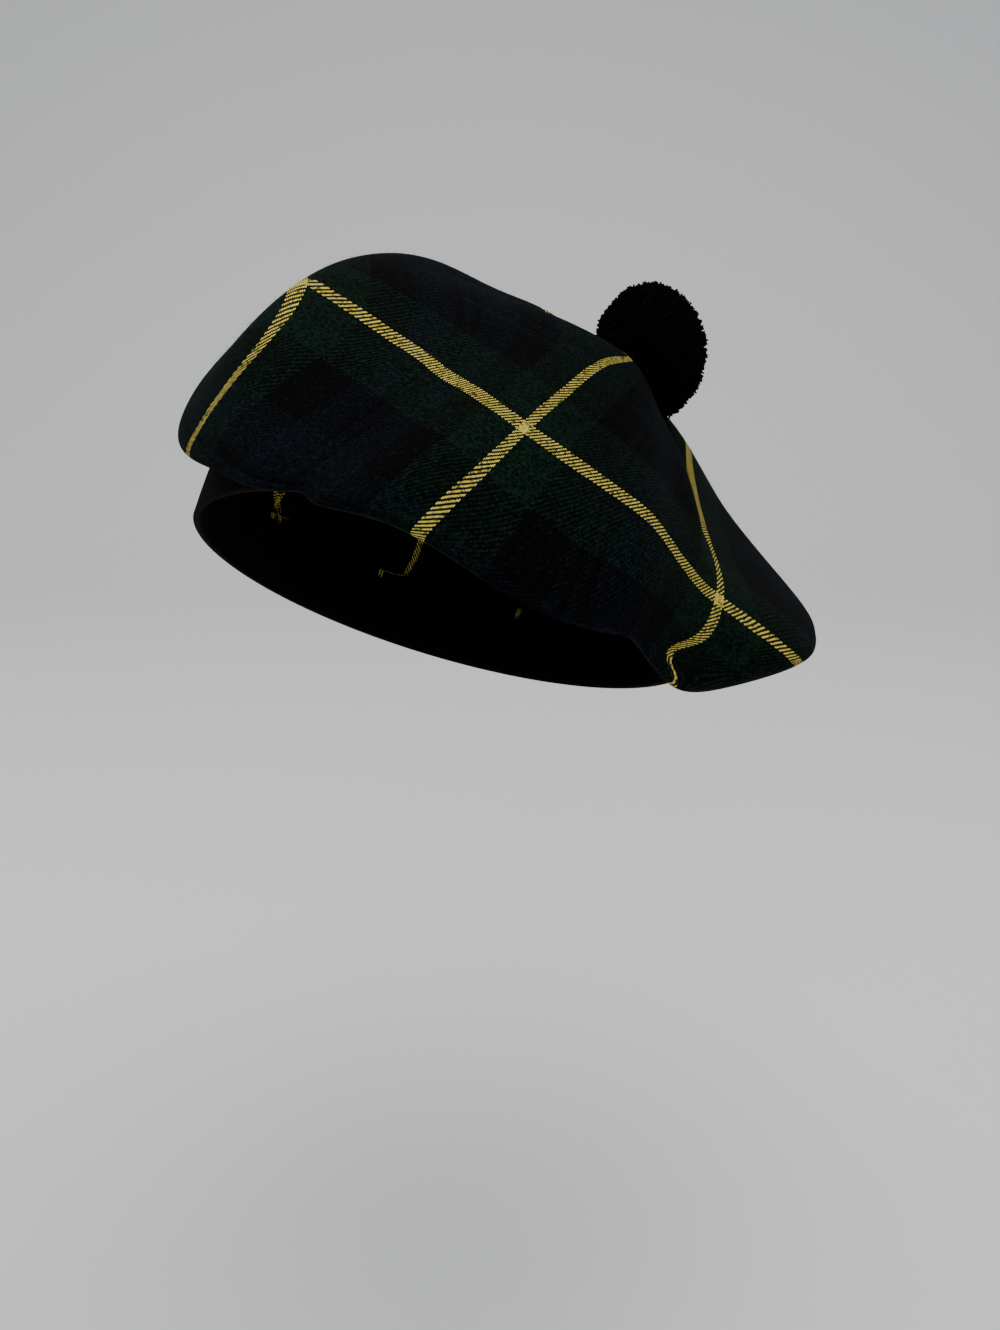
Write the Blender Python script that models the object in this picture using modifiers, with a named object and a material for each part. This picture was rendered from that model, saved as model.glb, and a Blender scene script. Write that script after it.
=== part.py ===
"""Tam o shanter: a round wool bonnet with a headband and a pompom, as worn on a tilted head.

Metres, +Z up. The wearer looks along -Y and the wearer's left side is +X. The origin is the
middle of the head opening at the headband's lower edge. Run it with
blender --background --python part.py
"""
import math
from collections import namedtuple
from functools import lru_cache

import bmesh
import bpy
from mathutils import Matrix, Vector, noise
from mathutils.bvhtree import BVHTree

MM = 0.001

# ---- driving dimensions, in millimetres and degrees ---------------------------------------
HEAD_HALF_LENGTH = 102.0      # head opening, middle to forehead
HEAD_HALF_WIDTH = 83.0        # head opening, middle to ear
TILT_BACK = 31.5              # the band sits higher on the forehead than on the nape
TILT_SIDE = 12.6              # and higher over the left ear than over the right

BAND_HEIGHT = 26.0
BAND_THICKNESS = 2.4
BAND_FLARE = 1.5              # how much wider the band is at its lower edge
CLOTH_THICKNESS = 1.0
COLLAR = 4.0                  # cloth turned down onto the band
COLLAR_BEND = 5.0             # how far outside the band the cloth starts to turn down
SEAM_GAP = 0.4                # between pieces that touch
SEAM_FLAT = 2.5               # cloth that lies flat each side of the outer seam

POMPOM_RADIUS = 21.6
POMPOM_STRETCH = 1.24         # how much taller it hangs than it is wide
POMPOM_LOCKS = 84
POMPOM_LOCK_HEIGHT = 3.0
POMPOM_MIDDLE = (29, 82, 91)
POMPOM_LEAN = (-0.20, 0.22, 0.95)   # direction in which it is tallest
POMPOM_SEAT = (0.50, 0.36, 0.79)    # direction that the crown faces where it is sewn on

POMPOM_LOCK_REACH = 1.15      # a lock's half width, as a share of the room that it has
POMPOM_WAVER = 0.05           # how far the ball is from round
SEAT_SEARCH = 60.0            # how far above the crown the seat of the pompom is looked for

CROWN_TWIST = 10.0            # the crown's sections sit turned from the band's by this much

# ---- places along the cloth, from the pompom to the band ------------------------------------
OUTER_EDGE = 3.0
BAND_EDGE = 5.0               # where the cloth starts to turn down onto the band
COLLAR_ROWS = (5.5, 5.999, 6.0)
COLLAR_RISE = 2.0             # how far the cloth rises as it turns down
COLLAR_CURVE = 0.6            # how wide it turns, as a share of the bend

TURN_STEPS = 60               # faces round the head
TOP_STEPS = 18                # faces from the pompom to the outer edge
UNDER_STEPS = 11              # faces from the outer edge to the collar
BAND_STEPS = 3
ROW_CROWDING = 0.4            # 0 spaces the rows evenly and 1 crowds them at both ends
SEAT_TURNS = 36               # faces round the middle of the crown, where the pompom is seated
SEAT_ROWS = 13
SEAT_ROW = 0.1                # how far along the cloth each of those rows is from the next

# ---- the crown's shape ----------------------------------------------------------------------
# Where the cloth passes in twelve planes round the head, as (left, back, up) in millimetres.
# turn is 0 at the face and 90 at the left ear. inner and outer lie a third and two thirds of
# the way from the pompom to the outer edge, and under lies halfway from there to the band.
CROWN_MIDDLE = (28, 78, 74)
Section = namedtuple("Section", "turn inner outer edge under")
SECTIONS = (
    Section(0, (28, 28, 106), (23, -51, 98), (23, -108, 63), (6, -88, 65)),
    Section(30, (43, 42, 95), (69, -48, 79), (77, -93, 56), (53, -70, 57)),
    Section(60, (48, 54, 83), (94, -9, 49), (105, -40, 21), (85, -32, 39)),
    Section(90, (53, 60, 67), (93, 26, 29), (105, 7, -1), (100, 7, -10)),
    Section(120, (41, 84, 50), (75, 73, 18), (107, 84, -14), (85, 71, -17)),
    Section(150, (29, 105, 57), (31, 136, 24), (62, 146, -15), (62, 111, -13)),
    Section(180, (12, 108, 69), (0, 151, 34), (-2, 157, -16), (-4, 128, -27)),
    Section(210, (-5, 102, 83), (-42, 127, 51), (-63, 130, 3), (-57, 110, -21)),
    Section(240, (-14, 85, 98), (-66, 91, 78), (-93, 81, 33), (-83, 69, 3)),
    Section(270, (-13, 61, 109), (-65, 55, 105), (-92, 32, 65), (-99, 18, 34)),
    Section(300, (-4, 36, 112), (-50, 19, 127), (-78, -26, 97), (-82, -42, 66)),
    Section(330, (-2, 24, 115), (-26, -36, 121), (-44, -83, 77), (-44, -83, 63)),
)

TOP_LEVEL = 50.0              # about how long the cloth is from one level to the next
UNDER_LEVEL = 32.0

# The main folds and dents, as soft swellings of the cloth. along runs from 0 at the pompom
# over 3 at the outer edge to 5 at the band, height is in millimetres and a dent's is negative.
Fold = namedtuple("Fold", "turn along turn_reach along_reach height")
FOLDS = (
    Fold(340, 2.5, 12, 0.4, 3),
    Fold(26, 2.5, 7, 0.35, 2.5),
    Fold(12, 2.1, 7, 0.5, -1.5),
    Fold(62, 2.3, 9, 0.6, 2),
    Fold(93, 1.5, 9, 0.5, 3),
    Fold(108, 1.3, 8, 0.4, -3),
    Fold(200, 1.9, 14, 0.6, -4),
    Fold(255, 1.9, 14, 0.6, -4),
    Fold(225, 3.6, 12, 0.6, 3),
    Fold(285, 3.4, 12, 0.6, 3),
)

# Where the outer edge hangs lower than the sections say, or rises where drop is negative.
Droop = namedtuple("Droop", "turn reach drop")
DROOPS = (
    Droop(46, 13, 3),
    Droop(75, 10, -3),
    Droop(108, 14, 4),
)


# ---- surfaces -------------------------------------------------------------------------------
def head_frame():
    """Rotation from the band's own level frame to the world."""
    back = Matrix.Rotation(math.radians(-TILT_BACK), 3, "X")
    side = Matrix.Rotation(math.radians(-TILT_SIDE), 3, "Y")
    return side @ back


HEAD = head_frame()


def ring_point(turn, outset, height):
    """Point in millimetres on an oval round the head, outset from the head opening."""
    angle = math.radians(turn)
    left = (HEAD_HALF_WIDTH + outset) * math.sin(angle)
    back = -(HEAD_HALF_LENGTH + outset) * math.cos(angle)
    return HEAD @ Vector((left, back, height))


def spline(before, start, end, after, share):
    """Point on the smooth curve from start to end, at a share of 0 to 1 of the way."""
    square = share * share
    cube = square * share
    return (
        before * (-0.5 * share + square - 0.5 * cube)
        + start * (1.0 - 2.5 * square + 1.5 * cube)
        + end * (0.5 * share + 2.0 * square - 1.5 * cube)
        + after * (-0.5 * square + 0.5 * cube)
    )


def level_point(section, level):
    """Point of one section at a whole level: 0 pompom, 3 outer edge, 5 top of the collar."""
    count = len(SECTIONS)
    row = SECTIONS[section % count]
    if level < 0:
        return Vector(SECTIONS[(section + count // 2) % count].inner)
    if level == 0:
        return Vector(CROWN_MIDDLE)
    if level == 5:
        return ring_point(row.turn + CROWN_TWIST, BAND_THICKNESS + COLLAR_BEND, BAND_HEIGHT + COLLAR)
    if level > 5:
        return ring_point(row.turn + CROWN_TWIST, BAND_THICKNESS, BAND_HEIGHT + COLLAR + COLLAR_RISE)
    return Vector((row.inner, row.outer, row.edge, row.under)[level - 1])


def section_curve(section, along):
    """Point of one section anywhere along it."""
    start = min(int(math.floor(along)), 4)
    levels = [level_point(section, start + step) for step in (-1, 0, 1, 2)]
    return spline(*levels, along - start)


def even_point(turn, along):
    """Point of the crown before its edge droops and its folds rise."""
    place = (turn % 360.0) / 360.0 * len(SECTIONS)
    start = int(math.floor(place))
    curves = [section_curve(start + step, along) for step in (-1, 0, 1, 2)]
    return spline(*curves, place - start)


def turn_apart(turn, other):
    """Degrees from one turn to another, the shorter way."""
    return (turn - other + 180.0) % 360.0 - 180.0


@lru_cache(maxsize=None)
def edge_droop(turn):
    """How far the outer edge hangs from where the sections put it."""
    drop = 0.0
    for droop in DROOPS:
        drop += droop.drop * math.exp(-(turn_apart(turn, droop.turn) / droop.reach) ** 2)
    outward = even_point(turn, 3) - (even_point(turn, 2) + even_point(turn, 4)) * 0.5
    return outward.normalized() * drop


def droop_share(along):
    """Share of the edge's droop that the cloth takes there: 1 at the edge, 0 two levels away."""
    away = abs(along - OUTER_EDGE)
    if away >= 2.0:
        return 0.0
    if away >= 1.0:
        return spline(0.0, 0.0, 0.0, 1.0, 2.0 - away)
    return spline(0.0, 1.0, 0.0, 0.0, away)


def draped_point(turn, along):
    """Point of the crown before its folds."""
    return even_point(turn, along) + edge_droop(turn) * droop_share(along)


def fold_height(turn, along):
    """How far the folds lift the cloth there, in millimetres."""
    total = 0.0
    for fold in FOLDS:
        away = turn_apart(turn, fold.turn)
        spread = (away / fold.turn_reach) ** 2 + ((along - fold.along) / fold.along_reach) ** 2
        total += fold.height * math.exp(-spread)
    return total * min(1.0, max(0.0, along) / 0.5)


def cloth_normal(turn, along):
    """Outward direction of the draped cloth."""
    side = draped_point(turn + 1.0, along) - draped_point(turn - 1.0, along)
    down = draped_point(turn, along + 0.02) - draped_point(turn, along - 0.02)
    return down.cross(side).normalized()


def crown_point(turn, along):
    """Point on the outside of the crown, in metres."""
    point = draped_point(turn, along)
    if 0.05 < along < 4.9:
        point = point + cloth_normal(turn, along) * fold_height(turn, along)
    return point * MM


def seam_point(turn, side):
    """Point beside the outer seam: side is -1 on the top cloth and 1 on the underside."""
    above = crown_point(turn, OUTER_EDGE - SEAM_FLAT / TOP_LEVEL)
    below = crown_point(turn, OUTER_EDGE + SEAM_FLAT / UNDER_LEVEL)
    across = (below - above).normalized()
    return (above + below) * 0.5 + across * (side * 0.5 * SEAM_GAP * MM)


# ---- building -------------------------------------------------------------------------------
def new_collection(name):
    """Collection linked to the scene."""
    collection = bpy.data.collections.new(name)
    bpy.context.scene.collection.children.link(collection)
    return collection


def make_material(name, colour, roughness):
    """Principled material of one colour."""
    material = bpy.data.materials.new(name)
    material.use_nodes = True
    shader = material.node_tree.nodes["Principled BSDF"]
    shader.inputs["Base Color"].default_value = (*colour, 1.0)
    shader.inputs["Roughness"].default_value = roughness
    shader.inputs["Metallic"].default_value = 0.0
    material.diffuse_color = (*colour, 1.0)
    return material


def sheet_object(name, alongs, place, material, collection):
    """Bend a grid into a closed ring, whose corners place(turn, along) gives."""
    mesh = bpy.data.meshes.new(name)
    form = bmesh.new()
    bmesh.ops.create_grid(form, x_segments=TURN_STEPS, y_segments=len(alongs) - 1, size=0.5)
    for vertex in form.verts:
        column = round((vertex.co.x + 0.5) * TURN_STEPS)
        row = round((vertex.co.y + 0.5) * (len(alongs) - 1))
        vertex.co = place(360.0 * (column % TURN_STEPS) / TURN_STEPS, alongs[row])
    bmesh.ops.remove_doubles(form, verts=form.verts, dist=1e-6)
    bmesh.ops.reverse_faces(form, faces=form.faces)
    form.to_mesh(mesh)
    form.free()
    piece = bpy.data.objects.new(name, mesh)
    collection.objects.link(piece)
    mesh.materials.append(material)
    mesh.polygons.foreach_set("use_smooth", [True] * len(mesh.polygons))
    return piece


def thicken(piece, thickness):
    """Give a sheet its wall, on the inside."""
    solidify = piece.modifiers.new("wall", "SOLIDIFY")
    solidify.thickness = thickness * MM
    solidify.offset = -1.0
    solidify.use_rim = True


def eased_steps(start, end, count):
    """Values from start to end, closer together at both ends."""
    values = []
    for step in range(count + 1):
        share = step / count
        eased = share - ROW_CROWDING * math.sin(2.0 * math.pi * share) / (2.0 * math.pi)
        values.append(start + (end - start) * eased)
    return values


def top_point(turn, along):
    """Point of the top cloth, whose last row lies along the outer seam."""
    if along >= OUTER_EDGE:
        return seam_point(turn, -1.0)
    return crown_point(turn, along)


def build_crown_top(material, collection):
    """Disc of cloth from the pompom to the outer seam."""
    alongs = eased_steps(0.0, OUTER_EDGE - SEAM_FLAT / TOP_LEVEL, TOP_STEPS) + [OUTER_EDGE]
    piece = sheet_object("crown_top", alongs, top_point, material, collection)
    thicken(piece, CLOTH_THICKNESS)
    return piece


def underside_point(turn, along):
    """Point of the underside, from the outer seam to where it turns down onto the band."""
    if along <= OUTER_EDGE:
        return seam_point(turn, 1.0)
    if along <= BAND_EDGE:
        return crown_point(turn, along)
    bend = COLLAR_ROWS[-1] - along
    rise = COLLAR + COLLAR_RISE * bend if bend > 0.0 else SEAM_GAP
    outset = BAND_THICKNESS + COLLAR_BEND * COLLAR_CURVE * bend ** 2
    return ring_point(turn + CROWN_TWIST, outset, BAND_HEIGHT + rise) * MM


def build_crown_underside(material, collection):
    """Ring of cloth from the outer edge to the band."""
    start = OUTER_EDGE + SEAM_FLAT / UNDER_LEVEL
    alongs = [OUTER_EDGE] + eased_steps(start, BAND_EDGE, UNDER_STEPS) + list(COLLAR_ROWS)
    piece = sheet_object("crown_underside", alongs, underside_point, material, collection)
    thicken(piece, CLOTH_THICKNESS)
    return piece


def band_point(turn, share):
    """Point on the outside of the headband, at a share of its height from the top."""
    flare = BAND_FLARE * share
    return ring_point(turn, BAND_THICKNESS + flare, BAND_HEIGHT * (1.0 - share)) * MM


def build_headband(material, collection):
    """Band round the head opening."""
    shares = [step / BAND_STEPS for step in range(BAND_STEPS + 1)]
    piece = sheet_object("headband", shares, band_point, material, collection)
    thicken(piece, BAND_THICKNESS)
    return piece


def lock_relief(direction, crowns):
    """Height of the wool locks in that direction, from 0 between them to 1 on top."""
    nearest = max(direction.dot(crown) for crown in crowns)
    spread = math.sqrt(4.0 / POMPOM_LOCKS)
    reach = spread * POMPOM_LOCK_REACH
    return max(0.0, 1.0 - (math.acos(min(1.0, nearest)) / reach) ** 2)


def spread_directions(count):
    """Directions spread evenly over a sphere, by the golden angle."""
    golden = math.pi * (3.0 - math.sqrt(5.0))
    directions = []
    for index in range(count):
        up = 1.0 - 2.0 * (index + 0.5) / count
        level = math.sqrt(1.0 - up * up)
        directions.append(Vector((level * math.cos(golden * index), level * math.sin(golden * index), up)))
    return directions


def crown_tree():
    """Search tree of the crown's middle, to seat the pompom on."""
    corners = []
    faces = []
    for row in range(SEAT_ROWS):
        for column in range(SEAT_TURNS):
            corners.append(crown_point(360.0 * column / SEAT_TURNS, row * SEAT_ROW) / MM)
    for row in range(SEAT_ROWS - 1):
        start = row * SEAT_TURNS
        below = start + SEAT_TURNS
        for column in range(SEAT_TURNS):
            after = (column + 1) % SEAT_TURNS
            faces.append((start + column, start + after, below + after, below + column))
    return BVHTree.FromPolygons(corners, faces)


def seated(place, axis, tree):
    """Lift a point of the pompom that would sink into the crown."""
    top = place + axis * SEAT_SEARCH
    hit = tree.ray_cast(top, -axis)
    if hit[0] is None:
        return place
    floor = hit[0] + axis * (SEAM_GAP * 2.0)
    if (place - floor).dot(axis) < 0.0:
        return floor
    return place


def build_pompom(material, collection):
    """Ball of wool locks, sewn to the middle of the crown, whose dip it fills."""
    mesh = bpy.data.meshes.new("pompom")
    form = bmesh.new()
    bmesh.ops.create_icosphere(form, subdivisions=4, radius=1.0)
    locks = spread_directions(POMPOM_LOCKS)
    axis = Vector(POMPOM_LEAN).normalized()
    seat = Vector(POMPOM_SEAT).normalized()
    middle = Vector(POMPOM_MIDDLE)
    tree = crown_tree()
    for vertex in form.verts:
        direction = vertex.co.normalized()
        waver = 1.0 + POMPOM_WAVER * noise.noise(direction * 2.0)
        radius = (POMPOM_RADIUS - POMPOM_LOCK_HEIGHT) * waver
        radius += POMPOM_LOCK_HEIGHT * lock_relief(direction, locks)
        place = direction * radius
        place += middle + axis * (place.dot(axis) * (POMPOM_STRETCH - 1.0))
        if direction.dot(seat) < 0.2:
            place = seated(place, seat, tree)
        vertex.co = place * MM
    form.to_mesh(mesh)
    form.free()
    piece = bpy.data.objects.new("pompom", mesh)
    collection.objects.link(piece)
    mesh.materials.append(material)
    mesh.polygons.foreach_set("use_smooth", [True] * len(mesh.polygons))
    return piece


def main():
    """Build the four pieces."""
    for old in list(bpy.data.objects):
        bpy.data.objects.remove(old, do_unlink=True)
    collection = new_collection("tam_o_shanter")
    tartan = make_material("tartan_wool", (0.012, 0.030, 0.035), 0.9)
    felt = make_material("black_felt", (0.008, 0.007, 0.007), 0.85)
    yarn = make_material("black_yarn", (0.006, 0.006, 0.006), 0.95)
    build_crown_top(tartan, collection)
    build_crown_underside(tartan, collection)
    build_headband(felt, collection)
    build_pompom(yarn, collection)


if __name__ == "__main__":
    main()
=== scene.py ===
"""Looks of a tam o shanter: a tartan wool crown draped to one side, a headband and a pompom.

Metres, +Z up. The wearer looks along -Y and the wearer's left side is +X. Every piece replaces
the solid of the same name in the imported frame, and keeps to its place and size.
"""
import logging
import math
from dataclasses import dataclass, field
from enum import Enum
from typing import Any, Sequence

import bpy
import numpy as np
from mathutils import Matrix, Vector


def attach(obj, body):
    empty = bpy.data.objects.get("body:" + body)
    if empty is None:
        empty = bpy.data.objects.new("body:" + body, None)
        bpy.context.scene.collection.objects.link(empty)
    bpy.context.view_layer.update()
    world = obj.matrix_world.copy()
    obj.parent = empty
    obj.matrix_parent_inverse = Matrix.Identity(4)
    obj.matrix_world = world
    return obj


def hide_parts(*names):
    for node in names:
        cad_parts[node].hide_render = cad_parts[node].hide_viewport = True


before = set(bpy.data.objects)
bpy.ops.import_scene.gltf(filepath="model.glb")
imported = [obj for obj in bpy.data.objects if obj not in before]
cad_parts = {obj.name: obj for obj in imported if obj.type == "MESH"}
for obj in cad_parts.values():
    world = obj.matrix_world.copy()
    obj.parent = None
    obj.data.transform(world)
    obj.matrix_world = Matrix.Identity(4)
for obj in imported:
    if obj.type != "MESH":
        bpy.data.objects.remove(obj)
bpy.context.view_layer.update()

MM = 0.001
EDGE = 3.0       # places along the cloth count from 0 at the pompom to 3 at the outer edge
BAND = 5.0       # and to 5 where it reaches the band
LOG = logging.getLogger("tam_o_shanter")


# ---- small helpers ---------------------------------------------------------------------------
def hex_colour(code: str, alpha: float = 1.0) -> tuple[float, float, float, float]:
    """Turn an sRGB hex colour to linear.

    Args:
        code: six hex digits, such as "1b2a3c".
        alpha: opacity to go with it.

    Returns:
        Linear red, green, blue and alpha.
    """
    parts = [int(code[start:start + 2], 16) / 255.0 for start in (0, 2, 4)]
    linear = [p / 12.92 if p <= 0.04045 else ((p + 0.055) / 1.055) ** 2.4 for p in parts]
    return (linear[0], linear[1], linear[2], alpha)


def add_node(
    tree: bpy.types.NodeTree,
    kind: str,
    settings: dict[str, Any] | None = None,
    inputs: dict[Any, Any] | None = None,
) -> bpy.types.Node:
    """Add a node with its settings, values and links.

    Args:
        tree: node tree to add it to.
        kind: the node's type name.
        settings: attributes of the node.
        inputs: input name or index, with a value or the socket that it is linked from.

    Returns:
        The new node.
    """
    node = tree.nodes.new(kind)
    for name, value in (settings or {}).items():
        setattr(node, name, value)
    for key, value in (inputs or {}).items():
        socket = node.inputs[key]
        if isinstance(value, bpy.types.NodeSocket):
            tree.links.new(value, socket)
        else:
            socket.default_value = value
    return node


def noise_scale(size: float) -> float:
    """Scale of a noise texture whose features are that many metres long."""
    return 1.0 / size


def mesh_object(name: str, mesh: bpy.types.Mesh) -> bpy.types.Object:
    """Link a new smooth object that holds the mesh.

    Args:
        name: the object's name.
        mesh: its mesh, with places in metres.

    Returns:
        The object.
    """
    piece = bpy.data.objects.new(name, mesh)
    bpy.context.scene.collection.objects.link(piece)
    mesh.polygons.foreach_set("use_smooth", [True] * len(mesh.polygons))
    return piece


# ---- finishes --------------------------------------------------------------------------------
class Thread(Enum):
    """Dyed wool of the tartan, as sRGB hex colours."""

    YELLOW = "ecd65c"
    GREEN = "081911"
    BLACK = "030303"
    NAVY = "070b13"


@dataclass(frozen=True)
class Sett:
    """Thread counts of the tartan, from the middle of one blue square to that of the next.

    The yellow line is in the middle, so mirroring the list at both ends gives the whole cloth.
    """

    counts: tuple[tuple[Thread, int], ...] = (
        (Thread.NAVY, 4),
        (Thread.BLACK, 6),
        (Thread.NAVY, 35),
        (Thread.BLACK, 37),
        (Thread.GREEN, 38),
        (Thread.YELLOW, 9),
        (Thread.GREEN, 38),
        (Thread.BLACK, 37),
        (Thread.NAVY, 6),
        (Thread.BLACK, 6),
        (Thread.NAVY, 6),
        (Thread.BLACK, 6),
        (Thread.NAVY, 22),
    )

    def threads(self) -> int:
        """Number of threads from one end of the list to the other."""
        return sum(count for _, count in self.counts)

    def stops(self) -> list[tuple[float, Thread]]:
        """List where each colour starts.

        Returns:
            Place from 0 to 1 along the list, with the thread that starts there.
        """
        result = []
        passed = 0
        for thread, count in self.counts:
            result.append((passed / self.threads(), thread))
            passed += count
        return result


@dataclass(frozen=True)
class TartanWool:
    """Worsted wool woven as a 2/2 twill: matt, with a faint diagonal rib and a soft bloom.

    Dyed worsted hardly shines, so its dark threads read nearly black and only the yellow ones
    catch the eye, as short slanting strokes with dark gaps between them.
    """

    sett: Sett = field(default_factory=Sett)
    line_spacing: float = 109.0 * MM      # from one yellow line to the next
    rib_depth: float = 0.12 * MM
    stray: float = 1.2 * MM               # how far threads wander from their straight course
    stray_length: float = 16.7 * MM       # over about this length
    fibre_size: float = 1.25 * MM         # tufts of loose fibre, coarser than real ones, to show
    cloud_size: float = 45.5 * MM         # patches where the dye took a little darker or lighter
    crest: float = 1.8                    # how narrow the lit crest of a thread is
    crest_light: tuple[float, float] = (0.04, 1.7)      # painted brightness: painted shade between threads, painted highlight on a crest
    grain_light: tuple[float, float] = (0.1, 2.2)       # and from the darkest tuft to the brightest
    patch_light: tuple[float, float] = (0.85, 1.15)     # and from patch to patch
    gap_fill: float = 0.2                 # share of both threads' colour that fluff keeps in gaps
    hairiness: float = 0.3                # share of the lint's colour in the strongest tufts
    gap_colour: str = "1c2418"            # the brightest that fluff in the gaps between threads gets
    cream: str = "ecda78"                 # the brightest that the lit wool gets
    lint: str = "2c3636"

    def pitch(self) -> float:
        """Distance from thread to thread."""
        return self.line_spacing / self.sett.threads()

    def colour_of(self, tree: bpy.types.NodeTree, threads: Any) -> bpy.types.NodeSocket:
        """Colour of the thread with that number.

        Args:
            tree: the material's nodes.
            threads: socket with the whole thread number, 0 at a yellow line.

        Returns:
            Socket with the colour.
        """
        count = self.sett.threads()
        shifted = add_node(tree, "ShaderNodeMath", {"operation": "ADD"}, {0: threads, 1: count / 2 + 0.5})
        mirrored = add_node(
            tree, "ShaderNodeMath", {"operation": "PINGPONG"}, {0: shifted.outputs[0], 1: float(count)}
        )
        share = add_node(
            tree, "ShaderNodeMath", {"operation": "DIVIDE"}, {0: mirrored.outputs[0], 1: float(count)}
        )
        ramp = add_node(tree, "ShaderNodeValToRGB", {}, {0: share.outputs[0]})
        ramp.color_ramp.interpolation = "CONSTANT"
        elements = ramp.color_ramp.elements
        stops = self.sett.stops()
        while len(elements) < len(stops):
            elements.new(0.5)
        for element, (place, thread) in zip(elements, stops):
            element.position = place
            element.color = hex_colour(thread.value)
        return ramp.outputs[0]

    def build(self) -> bpy.types.Material:
        """Make the material, whose pattern lies on the UV map of the cloth's flat cut.

        Returns:
            The material.
        """
        material = bpy.data.materials.new("tartan_wool_twill")
        material.use_nodes = True
        tree = material.node_tree
        shader = tree.nodes["Principled BSDF"]
        pitch = self.pitch()
        flat = add_node(tree, "ShaderNodeUVMap", {"uv_map": "flat_cut"})
        place = add_node(tree, "ShaderNodeTexCoord")
        # Threads wander by a fraction of a millimetre, so that lines are not ruler straight.
        wander = add_node(
            tree, "ShaderNodeTexNoise", {},
            {"Vector": place.outputs["Object"], "Scale": noise_scale(self.stray_length), "Detail": 2.0},
        )
        drift = add_node(
            tree, "ShaderNodeVectorMath", {"operation": "MULTIPLY_ADD"},
            {0: wander.outputs["Color"], 1: (self.stray,) * 3, 2: flat.outputs[0]},
        )
        axes = add_node(tree, "ShaderNodeSeparateXYZ", {}, {0: drift.outputs[0]})
        numbers = []
        whole = []
        for axis in (0, 1):
            number = add_node(
                tree, "ShaderNodeMath", {"operation": "DIVIDE"}, {0: axes.outputs[axis], 1: pitch}
            )
            floor = add_node(tree, "ShaderNodeMath", {"operation": "FLOOR"}, {0: number.outputs[0]})
            numbers.append(number.outputs[0])
            whole.append(floor.outputs[0])
        # A 2/2 twill: each thread goes over two crossing ones and under two, one further each time.
        step = add_node(tree, "ShaderNodeMath", {"operation": "SUBTRACT"}, {0: whole[0], 1: whole[1]})
        quarter = add_node(tree, "ShaderNodeMath", {"operation": "MULTIPLY"}, {0: step.outputs[0], 1: 0.25})
        twill = add_node(tree, "ShaderNodeMath", {"operation": "FRACT"}, {0: quarter.outputs[0]})
        over = add_node(
            tree, "ShaderNodeMath", {"operation": "LESS_THAN"}, {0: twill.outputs[0], 1: 0.375}
        )
        warp = self.colour_of(tree, whole[0])
        weft = self.colour_of(tree, whole[1])
        woven = add_node(
            tree, "ShaderNodeMix", {"data_type": "RGBA"}, {0: over.outputs[0], 6: weft, 7: warp}
        )
        # Fluff of both threads fills the gaps, but only as dark as the greens.
        both = add_node(tree, "ShaderNodeVectorMath", {"operation": "ADD"}, {0: weft, 1: warp})
        dull = add_node(
            tree, "ShaderNodeVectorMath", {"operation": "MINIMUM"},
            {0: both.outputs[0], 1: hex_colour(self.gap_colour)[:3]},
        )
        fluff = add_node(
            tree, "ShaderNodeVectorMath", {"operation": "SCALE"}, {0: dull.outputs[0], "Scale": self.gap_fill}
        )
        filled = add_node(
            tree, "ShaderNodeVectorMath", {"operation": "MAXIMUM"},
            {0: woven.outputs[2], 1: fluff.outputs[0]},
        )
        # Painted shade and highlight: each thread is round, so its colour is bright along its middle and dark
        # at its sides and where it dives.
        ridge = self.thread_ridge(tree, numbers, whole, over.outputs[0])
        fibre = add_node(
            tree, "ShaderNodeTexNoise", {},
            {"Vector": place.outputs["Object"], "Scale": noise_scale(self.fibre_size), "Detail": 3.0,
             "Roughness": 0.7},
        )
        cloud = add_node(
            tree, "ShaderNodeTexNoise", {},
            {"Vector": place.outputs["Object"], "Scale": noise_scale(self.cloud_size), "Detail": 4.0},
        )
        crest = add_node(tree, "ShaderNodeMath", {"operation": "POWER"}, {0: ridge, 1: self.crest})
        shade = add_node(
            tree, "ShaderNodeMapRange", {},
            {"Value": crest.outputs[0], "To Min": self.crest_light[0], "To Max": self.crest_light[1]},
        )
        patchy = add_node(
            tree, "ShaderNodeMapRange", {},
            {"Value": cloud.outputs["Fac"], "From Min": 0.3, "From Max": 0.7,
             "To Min": self.patch_light[0], "To Max": self.patch_light[1]},
        )
        grain = add_node(
            tree, "ShaderNodeMapRange", {},
            {"Value": fibre.outputs["Fac"], "From Min": 0.38, "From Max": 0.62,
             "To Min": self.grain_light[0], "To Max": self.grain_light[1]},
        )
        uneven = add_node(
            tree, "ShaderNodeMath", {"operation": "MULTIPLY"}, {0: grain.outputs[0], 1: patchy.outputs[0]}
        )
        strength = add_node(
            tree, "ShaderNodeMath", {"operation": "MULTIPLY"}, {0: shade.outputs[0], 1: uneven.outputs[0]}
        )
        # The thread colour is scaled by the painted shade and highlight, the grain and the patches.
        shaded = add_node(
            tree, "ShaderNodeVectorMath", {"operation": "SCALE"},
            {0: filled.outputs[0], "Scale": strength.outputs[0]},
        )
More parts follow.
